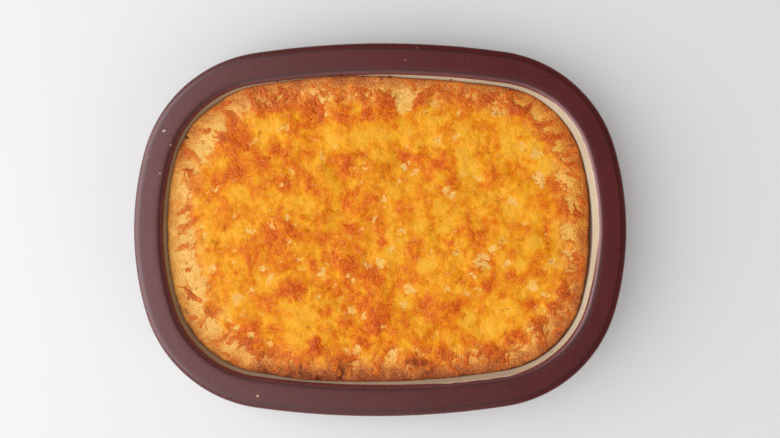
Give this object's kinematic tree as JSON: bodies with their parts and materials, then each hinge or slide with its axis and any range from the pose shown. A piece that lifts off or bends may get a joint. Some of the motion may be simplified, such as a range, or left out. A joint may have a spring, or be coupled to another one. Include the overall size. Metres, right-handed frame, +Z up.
{
  "type": "casserole",
  "caption": "Uncut cheese-topped cornbread casserole in a rounded oblong stoneware baking dish with a wide glazed rim and a bare clay inside.",
  "frame": {"origin": "middle of the dish's foot, on the surface that it stands on", "axes": "+X along the dish's length, +Y across it, +Z up"},
  "size_m": [0.3746, 0.2838, 0.062],
  "materials": {
    "stoneware": "deep maroon gloss glaze on the rim and outside, bare cream clay on the inner wall and the foot",
    "bake": "golden, pitted, bready crust, darker along the edge",
    "cheese": "melted orange-yellow cheese with browned strands, slightly oily"
  },
  "bodies": {
    "root": {"baking_dish": "stoneware", "bready_bake": "bake", "melted_cheese": "cheese"}
  },
  "joints": []
}
